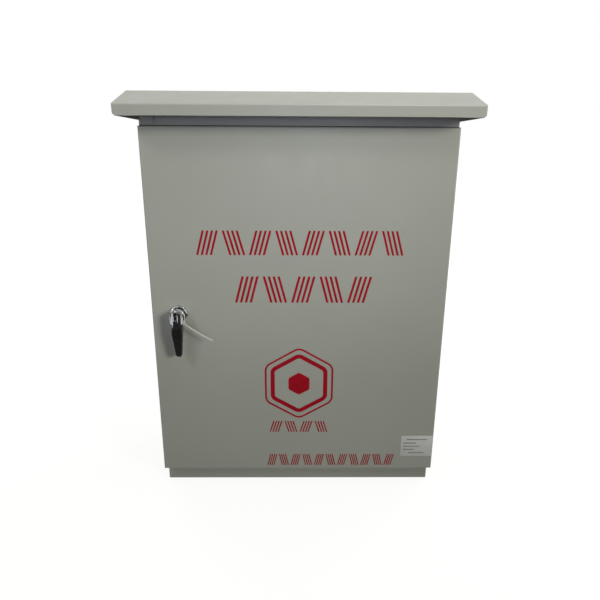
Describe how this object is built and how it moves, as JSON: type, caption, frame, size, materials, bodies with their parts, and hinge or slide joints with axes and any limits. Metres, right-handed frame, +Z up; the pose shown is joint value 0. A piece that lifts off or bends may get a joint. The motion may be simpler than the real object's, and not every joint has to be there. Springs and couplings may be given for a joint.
{
  "type": "lighting control cabinet",
  "caption": "Grey sheet-steel wall cabinet with a sloped rain canopy, an overlay door on hidden hinges, a chrome lever lock, and breakers, a contactor and a dimming controller inside.",
  "frame": {"origin": "middle of the body's flat base, on the surface it stands on", "axes": "+Z up, -Y out of the door, +X to the right when facing the door"},
  "size_m": [0.65, 0.3015, 0.8335],
  "materials": {
    "paint": "fine-textured powder coat, satin",
    "zinc": "bright zinc plate",
    "pin_steel": "ground steel",
    "chrome": "polished chrome plate",
    "rubber": "matte black rubber and foam",
    "brass": "plain brass",
    "pale_plastic": "light grey moulded plastic",
    "dark_plastic": "dark grey moulded plastic",
    "black_plastic": "smooth black plastic",
    "duct_plastic": "mid grey extruded plastic",
    "terminal_plastic": "beige-grey moulded plastic",
    "nylon": "natural nylon"
  },
  "bodies": {
    "cabinet": {"body_shell": "paint", "door_header": "paint", "canopy": "paint", "canopy_rail_left": "zinc", "canopy_rail_right": "zinc", "canopy_bolts": "zinc", "canopy_nuts": "zinc", "gland_gasket": "rubber", "gland_plate": "zinc", "gland_screws": "zinc", "cable_grommets": "rubber", "hinge_bracket_upper": "zinc", "hinge_bracket_lower": "zinc", "hinge_pin_upper": "pin_steel", "hinge_pin_lower": "pin_steel", "plate_studs": "zinc", "mounting_plate": "zinc", "plate_nuts": "zinc", "din_rail_upper": "zinc", "din_rail_middle": "zinc", "din_rail_lower": "zinc", "rail_screws": "zinc", "duct_left": "duct_plastic", "duct_right": "duct_plastic", "cross_ducts": "duct_plastic", "duct_covers": "duct_plastic", "main_breaker": "pale_plastic", "contactor": "dark_plastic", "power_supply": "zinc", "dimming_controller": "pale_plastic", "terminal_blocks": "terminal_plastic", "end_stops": "dark_plastic", "earth_bar": "brass", "earth_posts": "rubber", "earth_screws": "zinc", "body_earth_stud": "brass", "branch_breaker_1": "pale_plastic", "branch_breaker_2": "pale_plastic", "branch_breaker_3": "pale_plastic", "branch_breaker_4": "pale_plastic"},
    "door": {"door_panel": "paint", "door_seal": "rubber", "door_ribs": "paint", "door_earth_stud": "brass", "hinge_leaf_upper": "zinc", "hinge_leaf_lower": "zinc", "lock_housing": "chrome", "lock_nut": "zinc"},
    "handle": {"handle": "chrome", "handle_grip": "black_plastic", "lock_cam": "zinc", "cam_screw": "zinc", "cable_tie": "nylon"},
    "key": {"key_plug": "chrome"},
    "main_switch": {"main_toggle": "dark_plastic"},
    "contact_carrier": {"contactor_armature": "black_plastic"},
    "branch_switch_1": {"branch_toggle_1": "dark_plastic"},
    "branch_switch_2": {"branch_toggle_2": "dark_plastic"},
    "branch_switch_3": {"branch_toggle_3": "dark_plastic"},
    "branch_switch_4": {"branch_toggle_4": "dark_plastic"}
  },
  "joints": [
    {"name": "door_swing", "type": "hinge", "parent": "cabinet", "child": "door", "pos_m": [0.2925, -0.123, 0.405], "axis": [0, 0, 1], "range_deg": [0, 105]},
    {"name": "handle_turn", "type": "hinge", "parent": "door", "child": "handle", "pos_m": [-0.245, -0.133, 0.405], "axis": [0, -1, 0], "range_deg": [0, 90]},
    {"name": "key_turn", "type": "hinge", "parent": "handle", "child": "key", "pos_m": [-0.245, -0.16, 0.405], "axis": [0, -1, 0], "range_deg": [0, 90]},
    {"name": "main_switch_flip", "type": "hinge", "parent": "cabinet", "child": "main_switch", "pos_m": [-0.14, 0.033, 0.59167], "axis": [1, 0, 0], "range_deg": [0, 50]},
    {"name": "branch_switch_1_flip", "type": "hinge", "parent": "cabinet", "child": "branch_switch_1", "pos_m": [-0.0928, 0.033, 0.59167], "axis": [1, 0, 0], "range_deg": [0, 50]},
    {"name": "branch_switch_2_flip", "type": "hinge", "parent": "cabinet", "child": "branch_switch_2", "pos_m": [-0.0748, 0.033, 0.59167], "axis": [1, 0, 0], "range_deg": [0, 50]},
    {"name": "branch_switch_3_flip", "type": "hinge", "parent": "cabinet", "child": "branch_switch_3", "pos_m": [-0.0568, 0.033, 0.59167], "axis": [1, 0, 0], "range_deg": [0, 50]},
    {"name": "branch_switch_4_flip", "type": "hinge", "parent": "cabinet", "child": "branch_switch_4", "pos_m": [-0.0388, 0.033, 0.59167], "axis": [1, 0, 0], "range_deg": [0, 50]},
    {"name": "contact_carrier_slide", "type": "slide", "parent": "cabinet", "child": "contact_carrier", "axis": [0, 1, 0], "range_m": [0, 0.003], "stiffness_N_per_m": 400}
  ]
}
